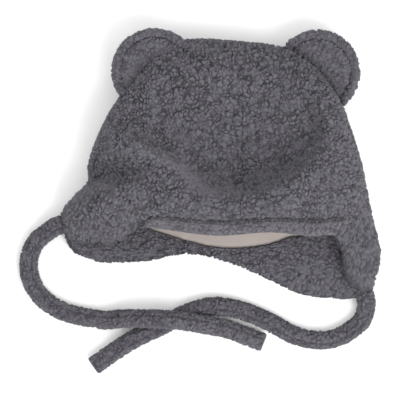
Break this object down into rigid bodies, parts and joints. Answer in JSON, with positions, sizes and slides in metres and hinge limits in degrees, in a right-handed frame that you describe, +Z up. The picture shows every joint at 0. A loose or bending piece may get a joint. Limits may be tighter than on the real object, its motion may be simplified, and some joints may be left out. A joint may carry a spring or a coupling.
{
  "type": "baby hat with ears",
  "caption": "Teddy-fleece baby hat with round ears, ear flaps and soft tie cords, jersey lined, lying on its back.",
  "frame": {"origin": "on the surface the hat lies on, under the middle of its outline with the ties left out", "axes": "+Y from the mouth towards the crown, +Z up through the front of the hat, +X towards the right flap as seen from above"},
  "size_m": [0.3116, 0.2977, 0.0704],
  "materials": {
    "fleece": "curly teddy fleece pile",
    "hem": "turned fleece hem, pile pressed flat",
    "lining": "plain cotton jersey"
  },
  "bodies": {
    "root": {"crown_left": "fleece", "crown_right": "fleece", "brow_hem": "hem", "flap_facing": "fleece", "lining": "lining", "ear_left_back": "fleece", "ear_left_front": "fleece", "ear_right_back": "fleece", "ear_right_front": "fleece", "tie_left": "fleece", "tie_right": "fleece"}
  },
  "joints": []
}
